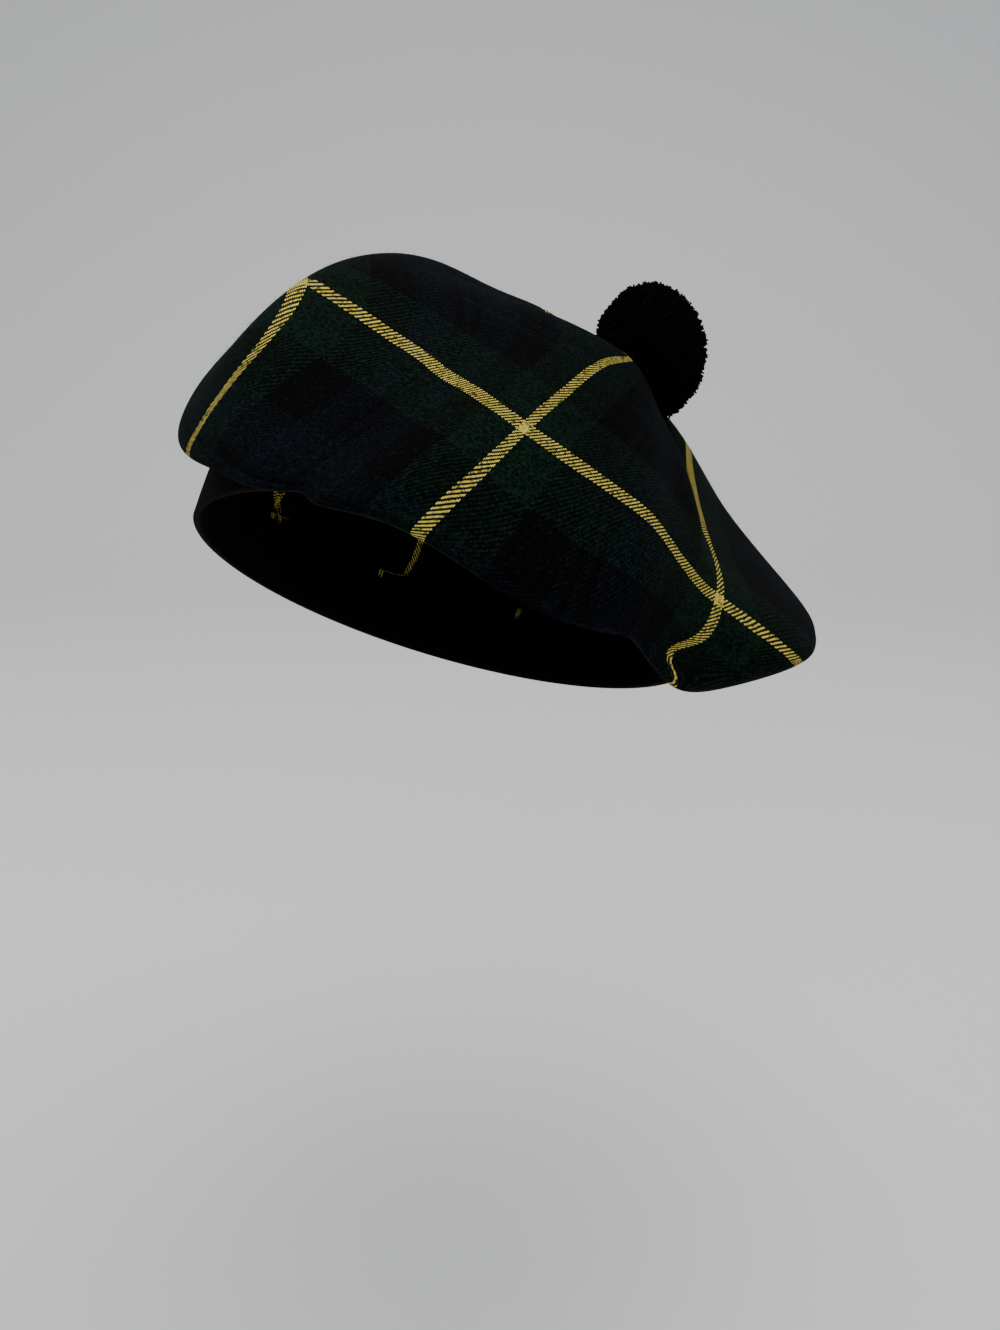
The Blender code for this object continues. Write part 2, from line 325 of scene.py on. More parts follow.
        # No thread is brighter than pale cream, however the grain falls.
        limited = add_node(
            tree, "ShaderNodeVectorMath", {"operation": "MINIMUM"},
            {0: shaded.outputs[0], 1: hex_colour(self.cream)[:3]},
        )
        lint = add_node(
            tree, "ShaderNodeMapRange", {},
            {"Value": fibre.outputs["Fac"], "From Min": 0.6, "From Max": 0.75, "To Max": self.hairiness},
        )
        bloom = add_node(
            tree, "ShaderNodeMix", {"data_type": "RGBA"},
            {0: lint.outputs[0], 6: limited.outputs[0], 7: hex_colour(self.lint)},
        )
        tree.links.new(bloom.outputs[2], shader.inputs["Base Color"])
        relief = add_node(
            tree, "ShaderNodeMath", {"operation": "MULTIPLY_ADD"},
            {0: fibre.outputs["Fac"], 1: 0.35, 2: ridge},
        )
        bump = add_node(
            tree, "ShaderNodeBump", {},
            {"Strength": 0.8, "Distance": self.rib_depth, "Height": relief.outputs[0]},
        )
        tree.links.new(bump.outputs[0], shader.inputs["Normal"])
        shader.inputs["Roughness"].default_value = 0.9
        shader.inputs["Specular IOR Level"].default_value = 0.03
        shader.inputs["Sheen Weight"].default_value = 0.009
        shader.inputs["Sheen Roughness"].default_value = 0.4
        shader.inputs["Sheen Tint"].default_value = hex_colour("8fb0b0")
        return material

    def thread_ridge(
        self, tree: bpy.types.NodeTree, numbers: Sequence[Any], whole: Sequence[Any], over: Any
    ) -> bpy.types.NodeSocket:
        """Height of the thread on top: 1 in the middle of its float, 0 at its sides and ends; it sets the
        bump and the painted shade and highlight.

        Args:
            tree: the material's nodes.
            numbers: sockets with the place across and along the cloth, in threads.
            whole: the same places as whole thread numbers.
            over: socket that is 1 where the first direction's thread is on top.

        Returns:
            Socket with the height.
        """
        heights = []
        for axis, (number, crossing, ahead) in enumerate(
            ((numbers[0], numbers[1], 0.0), (numbers[1], numbers[0], 3.0))
        ):
            part = add_node(tree, "ShaderNodeMath", {"operation": "FRACT"}, {0: number})
            side = add_node(tree, "ShaderNodeMath", {"operation": "SUBTRACT"}, {0: part.outputs[0], 1: 0.5})
            # A float spans two crossing threads and repeats after four.
            away = add_node(
                tree, "ShaderNodeMath", {"operation": "SUBTRACT"}, {0: crossing, 1: whole[axis]}
            )
            late = add_node(
                tree, "ShaderNodeMath", {"operation": "SUBTRACT"}, {0: away.outputs[0], 1: ahead}
            )
            end = add_node(
                tree, "ShaderNodeMath", {"operation": "WRAP"}, {0: late.outputs[0], 1: 2.0, 2: -2.0}
            )
            height = None
            for slope, fall in ((side, -4.0), (end, -0.7)):
                square = add_node(
                    tree, "ShaderNodeMath", {"operation": "MULTIPLY"},
                    {0: slope.outputs[0], 1: slope.outputs[0]},
                )
                bow = add_node(
                    tree, "ShaderNodeMath", {"operation": "MULTIPLY_ADD", "use_clamp": True},
                    {0: square.outputs[0], 1: fall, 2: 1.0},
                )
                if height is None:
                    height = bow
                else:
                    height = add_node(
                        tree, "ShaderNodeMath", {"operation": "MULTIPLY"},
                        {0: height.outputs[0], 1: bow.outputs[0]},
                    )
            heights.append(height.outputs[0])
        top = add_node(
            tree, "ShaderNodeMix", {"data_type": "FLOAT"}, {0: over, 2: heights[1], 3: heights[0]}
        )
        return top.outputs[0]


@dataclass(frozen=True)
class FeltedWool:
    """Milled wool of the headband: black, matt, with a matted nap and a brown tint along its lower edge.

    Felting hides the threads, so the eye sees an even dark face with a soft, uneven grain.
    """

    colour: str = "070706"
    # brown mixed in towards the band's lower edge
    lower_edge_brown: str = "160e0b"
    nap: float = 0.25 * MM                # how high the matted fibres stand
    nap_size: float = 1.11 * MM           # and how far apart their tufts are

    def build(self) -> bpy.types.Material:
        """Make the material.

        Returns:
            The material.
        """
        material = bpy.data.materials.new("felted_wool_black")
        material.use_nodes = True
        tree = material.node_tree
        shader = tree.nodes["Principled BSDF"]
        place = add_node(tree, "ShaderNodeTexCoord")
        matted = add_node(
            tree, "ShaderNodeTexNoise", {},
            {"Vector": place.outputs["Object"], "Scale": noise_scale(self.nap_size), "Detail": 6.0,
             "Roughness": 0.75},
        )
        height = add_node(tree, "ShaderNodeAttribute", {"attribute_name": "height_share"})
        ragged = add_node(
            tree, "ShaderNodeMath", {"operation": "MULTIPLY_ADD"},
            {0: matted.outputs["Fac"], 1: 0.25, 2: height.outputs["Fac"]},
        )
        # Brown tint mixed in towards the band's lower edge, made ragged by the nap noise.
        edge_brown_share = add_node(
            tree, "ShaderNodeMapRange", {},
            {"Value": ragged.outputs[0], "From Min": 0.30, "From Max": 0.10, "To Min": 0.0, "To Max": 0.75},
        )
        tint = add_node(
            tree, "ShaderNodeMix", {"data_type": "RGBA"},
            {0: edge_brown_share.outputs[0], 6: hex_colour(self.colour), 7: hex_colour(self.lower_edge_brown)},
        )
        light = add_node(
            tree, "ShaderNodeMapRange", {}, {"Value": matted.outputs["Fac"], "To Min": 0.6, "To Max": 1.4}
        )
        shaded = add_node(
            tree, "ShaderNodeVectorMath", {"operation": "SCALE"},
            {0: tint.outputs[2], "Scale": light.outputs[0]},
        )
        tree.links.new(shaded.outputs[0], shader.inputs["Base Color"])
        bump = add_node(
            tree, "ShaderNodeBump", {},
            {"Strength": 0.7, "Distance": self.nap, "Height": matted.outputs["Fac"]},
        )
        tree.links.new(bump.outputs[0], shader.inputs["Normal"])
        shader.inputs["Roughness"].default_value = 0.9
        shader.inputs["Specular IOR Level"].default_value = 0.02
        shader.inputs["Sheen Weight"].default_value = 0.004
        shader.inputs["Sheen Roughness"].default_value = 0.5
        return material


@dataclass(frozen=True)
class WoolYarn:
    """Cut ends of black wool yarn: very dark, matt, each strand twisted from fine fibres.

    Light is lost between the ends; greyer flecks mixed in by noise are partly the fibres' own tone and partly
    painted glints.
    """

    name: str = "wool_yarn_black"
    colour: str = "040404"
    # greyer flecks mixed in by noise: the fibres' own tone and painted glints
    fibre: str = "111112"
    fibre_size: float = 0.91 * MM
    twist_depth: float = 0.2 * MM

    def build(self) -> bpy.types.Material:
        """Make the material.

        Returns:
            The material.
        """
        material = bpy.data.materials.new(self.name)
        material.use_nodes = True
        tree = material.node_tree
        shader = tree.nodes["Principled BSDF"]
        place = add_node(tree, "ShaderNodeTexCoord")
        fibres = add_node(
            tree, "ShaderNodeTexNoise", {},
            {"Vector": place.outputs["Object"], "Scale": noise_scale(self.fibre_size), "Detail": 4.0,
             "Roughness": 0.7},
        )
        share = add_node(
            tree, "ShaderNodeMapRange", {},
            {"Value": fibres.outputs["Fac"], "From Min": 0.45, "From Max": 0.75},
        )
        # Painted glints: greyer flecks mixed in where the noise is high, along with the fibres' own tone.
        colour = add_node(
            tree, "ShaderNodeMix", {"data_type": "RGBA"},
            {0: share.outputs[0], 6: hex_colour(self.colour), 7: hex_colour(self.fibre)},
        )
        tree.links.new(colour.outputs[2], shader.inputs["Base Color"])
        bump = add_node(
            tree, "ShaderNodeBump", {},
            {"Strength": 0.6, "Distance": self.twist_depth, "Height": fibres.outputs["Fac"]},
        )
        tree.links.new(bump.outputs[0], shader.inputs["Normal"])
        shader.inputs["Roughness"].default_value = 0.95
        shader.inputs["Specular IOR Level"].default_value = 0.04
        return material


# ---- form of the hat -------------------------------------------------------------------------
@dataclass(frozen=True)
class HeadOpening:
    """Oval that the band follows, tilted as it sits on a head. Sizes are in millimetres."""

    half_length: float = 102.0
    half_width: float = 83.0
    around: float = 585.0                 # length of the oval, and of the band that follows it
    tilt_back: float = 31.5
    tilt_side: float = 12.6

    def turned(self) -> np.ndarray:
        """Work out how the band lies.

        Returns:
            Rotation matrix from the band's own level frame to the world.
        """
        back = Matrix.Rotation(math.radians(-self.tilt_back), 3, "X")
        side = Matrix.Rotation(math.radians(-self.tilt_side), 3, "Y")
        return np.array(side @ back)

    def ring(self, turns: np.ndarray, outset: Any, height: Any) -> np.ndarray:
        """Points on an oval round the head.

        Args:
            turns: degrees round the head, 0 at the face and 90 at the left ear.
            outset: millimetres outside the head opening.
            height: millimetres above the band's lower edge.

        Returns:
            One row of three millimetre values for each turn.
        """
        angle = np.radians(turns)
        left = (self.half_width + outset) * np.sin(angle)
        back = -(self.half_length + outset) * np.cos(angle)
        up = np.broadcast_to(height, angle.shape)
        return np.stack([left, back, up], axis=-1) @ self.turned().T


@dataclass(frozen=True)
class Section:
    """Where the cloth passes in one plane round the head, in millimetres: left, back, up.

    inner and outer lie a third and two thirds of the way from the pompom to the outer edge, and
    under lies halfway from there to the band.
    """

    turn: float
    inner: tuple[float, float, float]
    outer: tuple[float, float, float]
    edge: tuple[float, float, float]
    under: tuple[float, float, float]


@dataclass(frozen=True)
class Fold:
    """Soft swelling of the cloth, or a dent where its height is negative, in millimetres."""

    turn: float
    along: float
    turn_reach: float
    along_reach: float
    height: float


def weights(share: np.ndarray) -> np.ndarray:
    """Work out how much each of four points in a row counts, for a place between the middle two.

    Args:
        share: places from 0 at the second point to 1 at the third.

    Returns:
        Four weights for each place, on a last axis.
    """
    square = share * share
    cube = square * share
    return np.stack(
        [
            -0.5 * share + square - 0.5 * cube,
            1.0 - 2.5 * square + 1.5 * cube,
            0.5 * share + 2.0 * square - 1.5 * cube,
            -0.5 * square + 0.5 * cube,
        ],
        axis=-1,
    )


def blend_turns(net: np.ndarray, turns: np.ndarray) -> np.ndarray:
    """Values of every level at each turn, smoothly between a net's sections.

    Args:
        net: values as section by level by size.
        turns: degrees round the head.

    Returns:
        Values as turn by level by size.
    """
    count = len(net)
    place = (turns % 360.0) / 360.0 * count
    row = np.floor(place).astype(int)
    share = weights(place - row)
    result = np.zeros((len(turns), *net.shape[1:]))
    for step in range(4):
        result += share[:, step, None, None] * net[(row + step - 1) % count]
    return result


def blend_levels(levels: np.ndarray, alongs: np.ndarray) -> np.ndarray:
    """Values at each place along, smoothly between levels from -1 to 6.

    Args:
        levels: values as turn by level by size.
        alongs: places from 0 at the pompom over 3 at the outer edge to 5 at the band.

    Returns:
        Values as turn by along by size.
    """
    level = np.minimum(np.floor(alongs).astype(int), levels.shape[1] - 4)
    share = weights(alongs - level)
    result = np.zeros((len(levels), len(alongs), levels.shape[2]))
    for step in range(4):
        result += share[None, :, step, None] * levels[:, level + step]
    return result


def blend_net(net: np.ndarray, turns: np.ndarray, alongs: np.ndarray) -> np.ndarray:
    """Values of a net at each turn and place along, as turn by along by size."""
    return blend_levels(blend_turns(net, turns), alongs)


@dataclass(frozen=True)
class Droop:
    """Place where the outer edge hangs lower, or higher where its drop is negative."""

    turn: float
    reach: float
    drop: float


@dataclass(frozen=True)
class CrownForm:
    """Shape that the crown's cloth takes, from the pompom over the outer edge to the band."""

    opening: HeadOpening = field(default_factory=HeadOpening)
    middle: tuple[float, float, float] = (28, 78, 74)
    twist: float = 10.0                # the sections sit turned from the band's by this much
    band_height: float = 26.0
    band_thickness: float = 2.4
    collar: float = 4.0
    collar_bend: float = 5.0
    collar_rise: float = 2.0
    collar_curve: float = 0.6
    overlap: float = 1.5               # the cloth laps over the band's top by this much
    lap_outset: float = 1.5
    seam_gap: float = 0.06
    seam_flat: float = 2.5
    top_level: float = 50.0            # from level to level along the top, and along the underside
    under_level: float = 32.0
    unfolded_middle: float = 0.05      # folds end short of the pompom and of the band
    unfolded_end: float = 4.9
    sections: tuple[Section, ...] = (
        Section(0, (28, 28, 106), (23, -51, 98), (23, -108, 63), (6, -88, 65)),
        Section(30, (43, 42, 95), (69, -48, 79), (77, -93, 56), (53, -70, 57)),
        Section(60, (48, 54, 83), (94, -9, 49), (105, -40, 21), (85, -32, 39)),
        Section(90, (53, 60, 67), (93, 26, 29), (105, 7, -1), (100, 7, -10)),
        Section(120, (41, 84, 50), (75, 73, 18), (107, 84, -14), (85, 71, -17)),
        Section(150, (29, 105, 57), (31, 136, 24), (62, 146, -15), (62, 111, -13)),
        Section(180, (12, 108, 69), (0, 151, 34), (-2, 157, -16), (-4, 128, -27)),
        Section(210, (-5, 102, 83), (-42, 127, 51), (-63, 130, 3), (-57, 110, -21)),
        Section(240, (-14, 85, 98), (-66, 91, 78), (-93, 81, 33), (-83, 69, 3)),
        Section(270, (-13, 61, 109), (-65, 55, 105), (-92, 32, 65), (-99, 18, 34)),
        Section(300, (-4, 36, 112), (-50, 19, 127), (-78, -26, 97), (-82, -42, 66)),
        Section(330, (-2, 24, 115), (-26, -36, 121), (-44, -83, 77), (-44, -83, 63)),
    )
    droops: tuple[Droop, ...] = (
        Droop(352, 7, -2),
        Droop(6, 7, -4),
        Droop(10.5, 3, -4),
        Droop(46, 14, 8),
        Droop(75, 10, -3),
        Droop(108, 14, 4),
    )
    folds: tuple[Fold, ...] = (
        Fold(340, 2.5, 12, 0.4, 3.0),
        Fold(354, 2.8, 9, 0.13, 2.0),
        Fold(99, 2.8, 2.5, 0.12, -2.5),
        Fold(26, 2.5, 7, 0.35, 2.5),
        Fold(12, 2.1, 7, 0.5, -1.5),
        Fold(62, 2.3, 9, 0.6, 2.0),
        Fold(93, 1.5, 9, 0.5, 3.0),
        Fold(108, 1.3, 8, 0.4, -3.0),
        Fold(200, 1.9, 14, 0.6, -4.0),
        Fold(255, 1.9, 14, 0.6, -4.0),
        Fold(225, 3.6, 12, 0.6, 3.0),
        Fold(285, 3.4, 12, 0.6, 3.0),
    )

    def net(self) -> np.ndarray:
        """List the points that the cloth passes.

        Returns:
            Millimetre points, section by level from -1 to 6 by three.
        """
        count = len(self.sections)
        turns = np.array([section.turn for section in self.sections], float)
        rise = self.band_height + self.collar
        onto = turns + self.twist
        bend = self.opening.ring(onto, self.band_thickness + self.collar_bend, rise)
        past = self.opening.ring(onto, self.band_thickness, rise + self.collar_rise)
        net = np.zeros((count, 8, 3))
        for row, section in enumerate(self.sections):
            across = self.sections[(row + count // 2) % count]
            levels = (across.inner, self.middle, section.inner, section.outer, section.edge, section.under)
            net[row, :6] = levels
            net[row, 6] = bend[row]
            net[row, 7] = past[row]
        return net

    def drape(self, turns: np.ndarray, alongs: np.ndarray) -> np.ndarray:
        """Cloth before its folds.

        Args:
            turns: degrees round the head.
            alongs: places from 0 at the pompom over 3 at the outer edge to 5 at the band.

        Returns:
            Millimetre points, turn by along by three.
        """
        levels = blend_turns(self.net(), turns)
        pull = levels[:, 4] - 0.5 * (levels[:, 3] + levels[:, 5])
        pull /= np.linalg.norm(pull, axis=-1, keepdims=True)
        levels[:, 4] += pull * self.drop(turns)[:, None]
        return blend_levels(levels, alongs)

    def drop(self, turns: np.ndarray) -> np.ndarray:
        """Add up how far the outer edge hangs below its sections.

        Args:
            turns: degrees round the head.

        Returns:
            Millimetres at each turn.
        """
        total = np.zeros(len(turns))
        for droop in self.droops:
            away = (turns - droop.turn + 180.0) % 360.0 - 180.0
            total += droop.drop * np.exp(-(away / droop.reach) ** 2)
        return total

    def fold_height(self, turns: np.ndarray, alongs: np.ndarray) -> np.ndarray:
        """Add up how far the folds lift the cloth.

        Args:
            turns: degrees round the head.
            alongs: places from 0 at the pompom over 3 at the outer edge to 5 at the band.

        Returns:
            Millimetres, turn by along.
        """
        total = np.zeros((len(turns), len(alongs)))
        for fold in self.folds:
            away = (turns - fold.turn + 180.0) % 360.0 - 180.0
            around = (away / fold.turn_reach)[:, None] ** 2
            outward = ((alongs - fold.along) / fold.along_reach)[None, :] ** 2
            total += fold.height * np.exp(-around - outward)
        return total * np.clip(alongs / 0.5, 0.0, 1.0)[None, :]

    def cloth(self, turns: np.ndarray, alongs: np.ndarray) -> np.ndarray:
        """Outside of the crown, folds and all.

        Args:
            turns: degrees round the head.
            alongs: places from 0 at the pompom over 3 at the outer edge to 5 at the band.

        Returns:
            Millimetre points, turn by along by three.
        """
        points = self.drape(turns, alongs)
        side = self.drape(turns + 1.0, alongs) - self.drape(turns - 1.0, alongs)
        down = self.drape(turns, alongs + 0.02) - self.drape(turns, np.maximum(alongs - 0.02, -0.02))
        normal = np.cross(down, side)
        length = np.linalg.norm(normal, axis=-1, keepdims=True)
        normal /= np.maximum(length, 1e-9)
        lift = self.fold_height(turns, alongs)
        lift[:, (alongs < self.unfolded_middle) | (alongs > self.unfolded_end)] = 0.0
        return points + normal * lift[..., None]


@dataclass(frozen=True)
class Lay:
    """How the flat cloth lies along one section of the crown.

    Each pair is a place in the flat cut, in millimetres across the yellow lines: from the line
    that crosses the front of the crown, and from the one that goes round it.
    """

    turn: float
    inner: tuple[float, float]
    outer: tuple[float, float]
    edge: tuple[float, float]
    under: tuple[float, float]
    band: tuple[float, float]


@dataclass(frozen=True)
class Tug:
    """Place where the cloth is dragged along itself, in millimetres across the yellow lines."""

    turn: float
    along: float
    turn_reach: float
    along_reach: float
    drag: tuple[float, float]


@dataclass(frozen=True)
class Gather:
    """Place where the cloth beside one yellow line is pressed together, or pulled out.

    line is the yellow line's place across the cloth and reach is how far the change goes beside
    it, in millimetres; press is the share by which it narrows, negative where it widens.
    """

    turn: float
    along: float
    turn_reach: float
    along_reach: float
    line: float
    reach: float
    press: float


@dataclass(frozen=True)
class FlatCut:
    """Place of every point of the crown in its flat cloth, where the yellow lines run."""

    middle: tuple[float, float] = (55, 81)
    radius: float = 160.0              # of the disc that the top is cut from, and the ring below
    past_band: float = 0.2             # of the last level's length, for the cloth that turns down
    lays: tuple[Lay, ...] = (
        Lay(0, (-16, 56), (-76, -7), (-66, -53), (-80, -70), (-89, -94)),
        Lay(30, (3, 56), (-9, -5), (-4, -43), (-17, -67), (-19, -96)),
        Lay(60, (27, 56), (52, -1), (54, -38), (47, -59), (47, -94)),
        Lay(90, (51, 52), (89, 8), (107, -28), (116, -39), (130, -78)),
        Lay(120, (90, 68), (121, 27), (153, 12), (168, -5), (193, -16)),
        Lay(150, (101, 90), (133, 101), (165, 71), (183, 43), (204, 55)),
        Lay(180, (80, 103), (108, 126), (145, 124), (163, 129), (176, 142)),
        Lay(210, (48, 103), (55, 136), (81, 154), (90, 176), (93, 199)),
        Lay(240, (23, 92), (1, 123), (5, 151), (6, 176), (-7, 199)),
        Lay(270, (-5, 81), (-36, 94), (-60, 107), (-77, 127), (-99, 139)),
        Lay(300, (-31, 70), (-75, 66), (-119, 38), (-137, 19), (-144, 23)),
        Lay(330, (-39, 61), (-106, 9), (-122, -41), (-131, -51), (-142, -52)),
    )
    tugs: tuple[Tug, ...] = (
        Tug(85, 3.0, 9, 0.28, (12, 0)),
        Tug(342, 2.8, 6, 0.5, (-4, 0)),
        Tug(328, 2.17, 10, 0.22, (2, -5)),
        Tug(38, 0.85, 20, 0.3, (-14, 0)),
    )
    gathers: tuple[Gather, ...] = (
        Gather(342, 2.7, 14, 0.6, -109, 12, 0.9),
        Gather(125, 1.5, 22, 0.5, 109, 9, -0.5),
    )

    def net(self) -> np.ndarray:
        """List the flat places of the cloth's sections.

        Returns:
            Millimetres across the yellow lines, section by level from -1 to 6 by two.
        """
        count = len(self.lays)
        net = np.zeros((count, 8, 2))
        for row, lay in enumerate(self.lays):
            across = self.lays[(row + count // 2) % count]
            net[row, :7] = (across.inner, self.middle, lay.inner, lay.outer, lay.edge, lay.under, lay.band)
        net[:, 7] = net[:, 6] + (net[:, 6] - net[:, 5]) * self.past_band
        return net

    def place(self, turns: np.ndarray, alongs: np.ndarray) -> np.ndarray:
        """Flat place in metres of each point, turn by along by two.

        Args:
            turns: degrees round the head.
            alongs: places from 0 at the pompom over 3 at the outer edge to 5 at the band.

        Returns:
            Metres across the yellow lines, in both directions of the weave.
        """
        places = blend_net(self.net(), turns, alongs)
        for tug in self.tugs:
            places += self.spot(tug, turns, alongs)[..., None] * np.array(tug.drag)
        for gather in self.gathers:
            beside = places[..., 0] - gather.line
            near = np.exp(-(beside / gather.reach) ** 2)
            places[..., 0] += self.spot(gather, turns, alongs) * gather.press * beside * near
        return places * MM

    def spot(self, spot: Tug | Gather, turns: np.ndarray, alongs: np.ndarray) -> np.ndarray:
        """How strongly a tug or gather acts at each turn and place along.

        Args:
            spot: the tug or gather.
            turns: degrees round the head.
            alongs: places from 0 at the pompom over 3 at the outer edge to 5 at the band.

        Returns:
            Shares from 0 to 1, turn by along.
        """
        away = (turns - spot.turn + 180.0) % 360.0 - 180.0
        around = (away / spot.turn_reach)[:, None] ** 2
        outward = ((alongs - spot.along) / spot.along_reach)[None, :] ** 2
        return np.exp(-around - outward)


# ---- pieces ----------------------------------------------------------------------------------
@dataclass
class Sheeting:
    """Builds closed rings of cloth from rows of points."""

    wall: float = 1.0
    turn_steps: int = 300

    def turns(self) -> np.ndarray:
        """Degrees of the columns of points."""
        return np.arange(self.turn_steps) * 360.0 / self.turn_steps

    def build(
        self, name: str, points: np.ndarray, flat: np.ndarray, material: bpy.types.Material
    ) -> bpy.types.Object:
        """Make a sheet that goes all the way round.

        Args:
            name: the piece's name.
            points: millimetre points, turn by row by three, from the middle outward.
            flat: place in the flat cut, turn by row by two, in metres.
            material: its finish.

        Returns:
            The piece, still without its wall.
        """
        columns, rows, _ = points.shape
        closed = float(np.abs(points[:, 0] - points[:1, 0]).max()) < 1e-6
        corners = points.reshape(-1, 3) * MM
        index = np.arange(columns * rows).reshape(columns, rows)
        if closed:
            index[:, 0] = index[0, 0]
        after = np.roll(index, -1, axis=0)
        quads = np.stack([index[:, :-1], index[:, 1:], after[:, 1:], after[:, :-1]], axis=-1)
        faces = [
            tuple(dict.fromkeys(int(corner) for corner in quad)) for quad in quads.reshape(-1, 4)
        ]
        used = np.unique(np.concatenate([np.array(face) for face in faces]))
        lookup = np.full(columns * rows, -1)
        lookup[used] = np.arange(len(used))
        mesh = bpy.data.meshes.new(name)
        mesh.from_pydata(corners[used].tolist(), [], [tuple(lookup[list(face)]) for face in faces])
        mesh.update()
        layer = mesh.uv_layers.new(name="flat_cut")
        corner_vertices = np.zeros(len(mesh.loops), dtype=int)
        mesh.loops.foreach_get("vertex_index", corner_vertices)
        flat_places = flat.reshape(-1, 2)[used]
        layer.data.foreach_set("uv", flat_places[corner_vertices].ravel())
        mesh.materials.append(material)
        return mesh_object(name, mesh)

    def thicken(self, piece: bpy.types.Object, wall: float) -> None:
        """Give a sheet its wall on the inside, as plain mesh.

        Args:
            piece: the sheet.
            wall: its thickness in millimetres.
        """
        modifier = piece.modifiers.new("wall", "SOLIDIFY")
        modifier.thickness = wall * MM
        modifier.offset = -1.0
        modifier.use_rim = True
        make_plain(piece)


def make_plain(piece: bpy.types.Object) -> None:
    """Replace a piece's mesh by the result of its modifiers, and remove them.

    Args:
        piece: the piece, which keeps its name.
    """
    graph = bpy.context.evaluated_depsgraph_get()
    result = bpy.data.meshes.new_from_object(piece.evaluated_get(graph), depsgraph=graph)
    piece.modifiers.clear()
    old = piece.data
    piece.data = result
    result.name = piece.name
    bpy.data.meshes.remove(old)


@dataclass
class Crown:
    """Top cloth and underside of the crown."""

    form: CrownForm = field(default_factory=CrownForm)
    cut: FlatCut = field(default_factory=FlatCut)
    sheeting: Sheeting = field(default_factory=Sheeting)
    top_rows: int = 110
    under_rows: int = 64
    lap_levels: tuple[float, ...] = (5.25, 5.5, 5.75, 5.999, 6.0)    # of the cloth's turn onto the band

    def seam(self, turns: np.ndarray, side: float) -> np.ndarray:
        """Find the row of points beside the outer seam.

        Args:
            turns: degrees round the head.
            side: -1 on the top cloth and 1 below it.

        Returns:
            Millimetre points, one for each turn.
        """
        form = self.form
        above = EDGE - form.seam_flat / form.top_level
        below = EDGE + form.seam_flat / form.under_level
        pair = form.cloth(turns, np.array([above, below]))
        across = pair[:, 1] - pair[:, 0]
        across /= np.linalg.norm(across, axis=-1, keepdims=True)
        return pair.mean(axis=1) + across * (side * 0.5 * form.seam_gap)

    def build_top(self, material: bpy.types.Material) -> bpy.types.Object:
        """Make the disc of cloth from the pompom to the outer seam.

        Args:
            material: its finish.

        Returns:
            The piece.
        """
        turns = self.sheeting.turns()
        alongs = np.linspace(0.0, EDGE - self.form.seam_flat / self.form.top_level, self.top_rows)
        points = self.form.cloth(turns, alongs)
        points = np.concatenate([points, self.seam(turns, -1.0)[:, None]], axis=1)
        flat = self.cut.place(turns, np.append(alongs, EDGE))
        piece = self.sheeting.build("crown_top_cloth", points, flat, material)
        self.sheeting.thicken(piece, self.sheeting.wall)
        return piece

    def build_underside(self, material: bpy.types.Material) -> bpy.types.Object:
        """Make the ring of cloth from the outer seam to the band.

        Args:
            material: its finish.

        Returns:
            The piece.
        """
        form = self.form
        turns = self.sheeting.turns()
        alongs = np.linspace(EDGE + form.seam_flat / form.under_level, BAND, self.under_rows)
        rows = [self.seam(turns, 1.0)[:, None], form.cloth(turns, alongs)]
        last = self.lap_levels[-1]
        for level in self.lap_levels:
            bend = last - level
            rise = form.collar + form.collar_rise * bend if level < last else -form.overlap
            outset = form.band_thickness + form.collar_bend * form.collar_curve * bend ** 2
            outset += form.lap_outset * (1.0 - bend)
            rows.append(form.opening.ring(turns + form.twist, outset, form.band_height + rise)[:, None])
        points = np.concatenate(rows, axis=1)
        flat = self.cut.place(turns, np.concatenate([[EDGE], alongs, self.lap_levels]))
        piece = self.sheeting.build("crown_underside_cloth", points, flat, material)
        self.sheeting.thicken(piece, self.sheeting.wall)
        return piece


@dataclass
class Headband:
    """Felted band round the head opening."""

    form: CrownForm = field(default_factory=CrownForm)
    sheeting: Sheeting = field(default_factory=Sheeting)
    flare: float = 1.5                 # its lower edge stands out by this much
    rows: int = 24
    waviness: float = 0.5              # of its middle, where it gives over the hair
    waves: tuple[tuple[float, float, float], ...] = ((7.0, 0.0, 1.0), (13.0, 40.0, 0.6))

    def build(self, material: bpy.types.Material) -> bpy.types.Object:
        """Make the band.

        Args:
            material: its finish.

        Returns:
            The piece.
        """
        turns = self.sheeting.turns()
        shares = np.linspace(0.0, 1.0, self.rows)
        height = self.form.band_height
        rows = []
        for share in shares:
            swell = self.waviness * math.sin(math.pi * share)
            wave = sum(
                size * np.sin(np.radians(turns * count + start)) for count, start, size in self.waves
            )
            outset = self.form.band_thickness + self.flare * share + swell * wave
            rows.append(self.form.opening.ring(turns, outset, height * (1.0 - share))[:, None])
        points = np.concatenate(rows, axis=1)
        flat = np.zeros((len(turns), self.rows, 2))
        flat[..., 0] = turns[:, None] / 360.0 * self.form.opening.around * MM
        flat[..., 1] = shares[None, :] * height * MM
        piece = self.sheeting.build("headband_felt", points, flat, material)
        share_layer = piece.data.attributes.new("height_share", "FLOAT", "POINT")
        share_layer.data.foreach_set("value", np.tile(1.0 - shares, len(turns)))
        self.sheeting.thicken(piece, self.form.band_thickness)
        return piece


